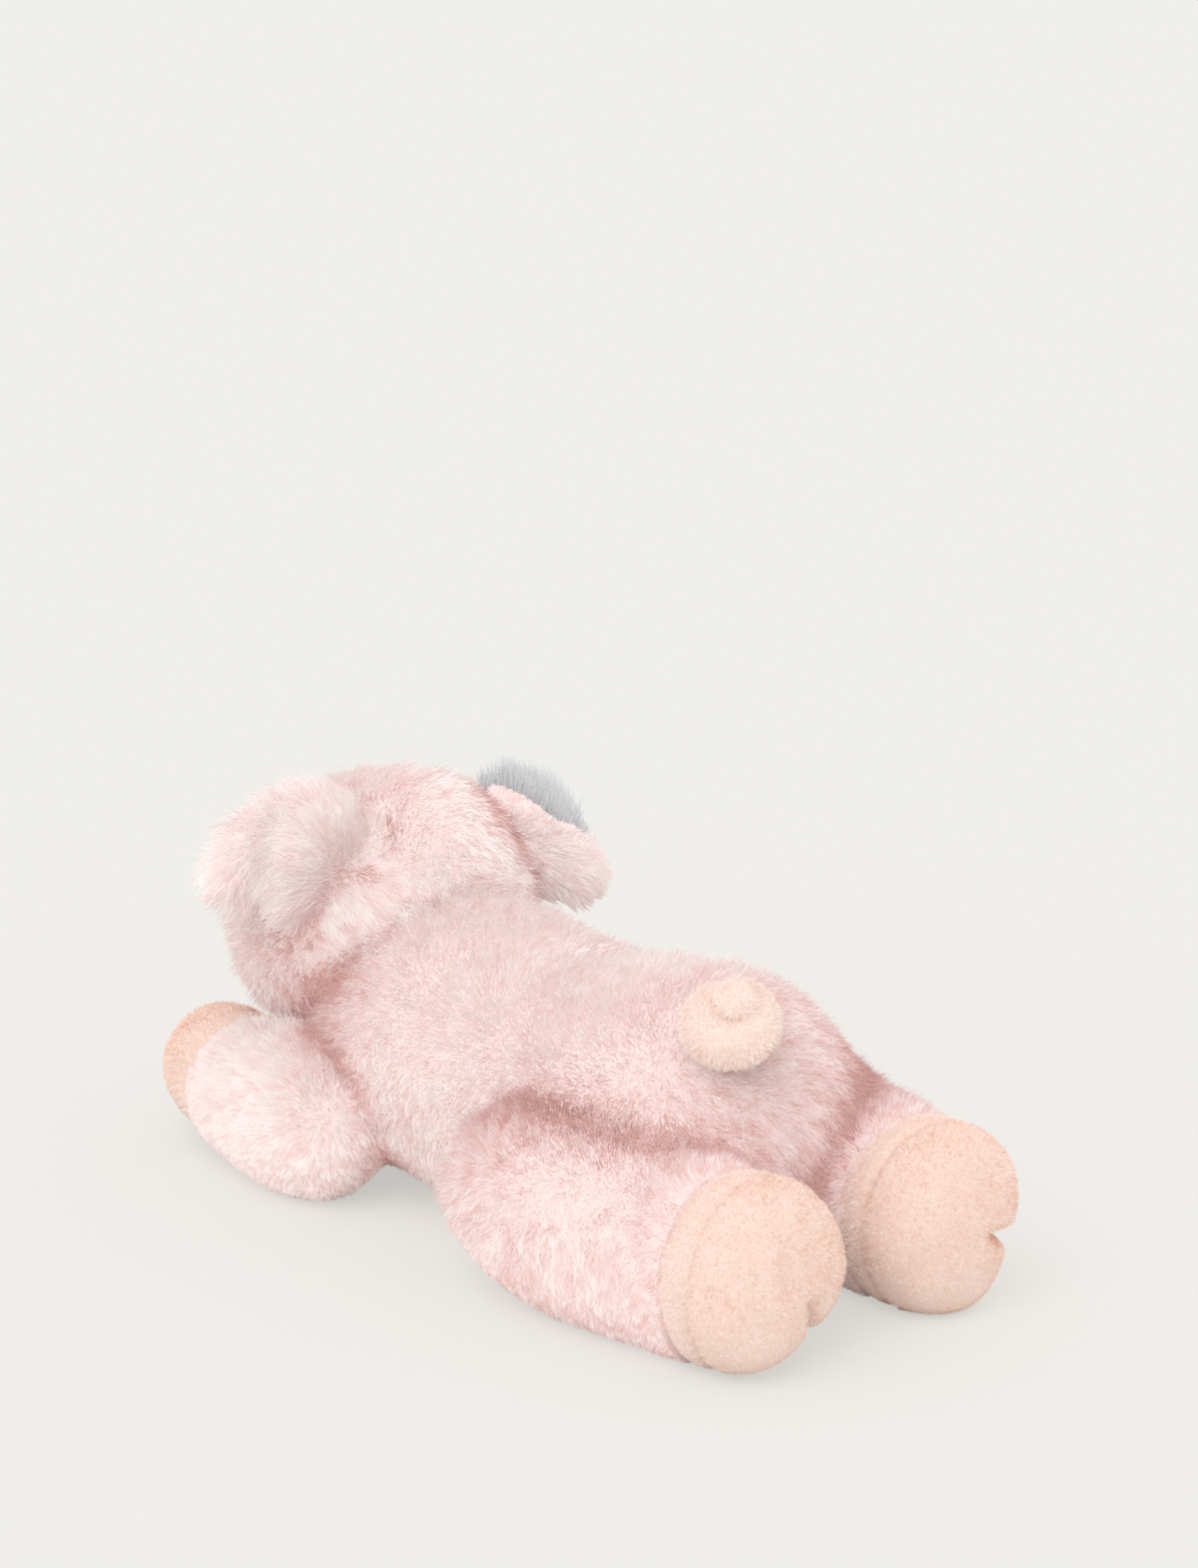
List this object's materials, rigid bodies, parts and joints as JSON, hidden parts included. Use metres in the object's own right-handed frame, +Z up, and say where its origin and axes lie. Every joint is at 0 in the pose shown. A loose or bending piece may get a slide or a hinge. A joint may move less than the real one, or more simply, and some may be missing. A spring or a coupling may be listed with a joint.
{
  "type": "plush pig",
  "caption": "Long-pile plush pig lying on its belly, legs stretched out, with droopy ears, cloven velour hooves and a curled tail.",
  "frame": {"origin": "on the floor under the middle of the pig", "axes": "+Y from the head to the hind hooves, +X to the pig's left, +Z up"},
  "size_m": [0.1638, 0.3178, 0.1359],
  "materials": {
    "pink_pile": "long pile",
    "cream_velour": "short pile",
    "grey_pile": "long pile",
    "stuffing": "fibre",
    "eye_black": "gloss",
    "washer_plastic": "matte",
    "nostril_thread": "satin stitch"
  },
  "bodies": {
    "torso": {"torso_cover": "pink_pile", "torso_filling": "stuffing"},
    "head": {"head_cover": "pink_pile", "snout_cover": "cream_velour", "head_filling": "stuffing", "left_eye": "eye_black", "right_eye": "eye_black", "left_eye_washer": "washer_plastic", "right_eye_washer": "washer_plastic", "left_nostril": "nostril_thread", "right_nostril": "nostril_thread"},
    "left_ear": {"left_ear_back": "pink_pile", "left_ear_lining": "grey_pile"},
    "right_ear": {"right_ear_back": "pink_pile", "right_ear_lining": "grey_pile"},
    "tail": {"tail": "cream_velour"},
    "left_hind_leg": {"left_hind_leg_cover": "pink_pile", "left_hind_hoof_cover": "cream_velour", "left_hind_leg_filling": "stuffing"},
    "left_front_leg": {"left_front_leg_cover": "pink_pile", "left_front_hoof_cover": "cream_velour", "left_front_leg_filling": "stuffing"},
    "right_hind_leg": {"right_hind_leg_cover": "pink_pile", "right_hind_hoof_cover": "cream_velour", "right_hind_leg_filling": "stuffing"},
    "right_front_leg": {"right_front_leg_cover": "pink_pile", "right_front_hoof_cover": "cream_velour", "right_front_leg_filling": "stuffing"}
  },
  "joints": [
    {"name": "neck_turn", "type": "hinge", "parent": "torso", "child": "head", "pos_m": [0.00066, -0.09921, 0.086], "axis": [-0.0854, -0.7701, 0.6322], "range_deg": [-20, 20], "stiffness_Nm_per_rad": 0.25},
    {"name": "left_ear_swing", "type": "hinge", "parent": "head", "child": "left_ear", "pos_m": [0.0366, -0.08101, 0.11764], "axis": [-0.4891, -0.2457, 0.8369], "range_deg": [-25, 25], "stiffness_Nm_per_rad": 0.02},
    {"name": "right_ear_swing", "type": "hinge", "parent": "head", "child": "right_ear", "pos_m": [-0.04262, -0.08101, 0.10651], "axis": [0.0036, -0.4061, 0.9138], "range_deg": [-25, 25], "stiffness_Nm_per_rad": 0.02},
    {"name": "tail_swing", "type": "hinge", "parent": "torso", "child": "tail", "pos_m": [0.00816, 0.09379, 0.08438], "axis": [1, 0, 0], "range_deg": [-8, 8], "stiffness_Nm_per_rad": 0.03},
    {"name": "left_hind_leg_raise", "type": "hinge", "parent": "torso", "child": "left_hind_leg", "pos_m": [0.00516, 0.06706, 0.05025], "axis": [1, 0, 0], "range_deg": [-30, 15], "stiffness_Nm_per_rad": 0.12},
    {"name": "left_front_leg_lower", "type": "hinge", "parent": "torso", "child": "left_front_leg", "pos_m": [0.00516, -0.05861, 0.05267], "axis": [1, 0, 0], "range_deg": [-4, 30], "stiffness_Nm_per_rad": 0.12},
    {"name": "right_hind_leg_raise", "type": "hinge", "parent": "torso", "child": "right_hind_leg", "pos_m": [0.00516, 0.06706, 0.05025], "axis": [1, 0, 0], "range_deg": [-30, 15], "stiffness_Nm_per_rad": 0.12},
    {"name": "right_front_leg_lower", "type": "hinge", "parent": "torso", "child": "right_front_leg", "pos_m": [0.00516, -0.05861, 0.05267], "axis": [1, 0, 0], "range_deg": [-4, 30], "stiffness_Nm_per_rad": 0.12}
  ]
}
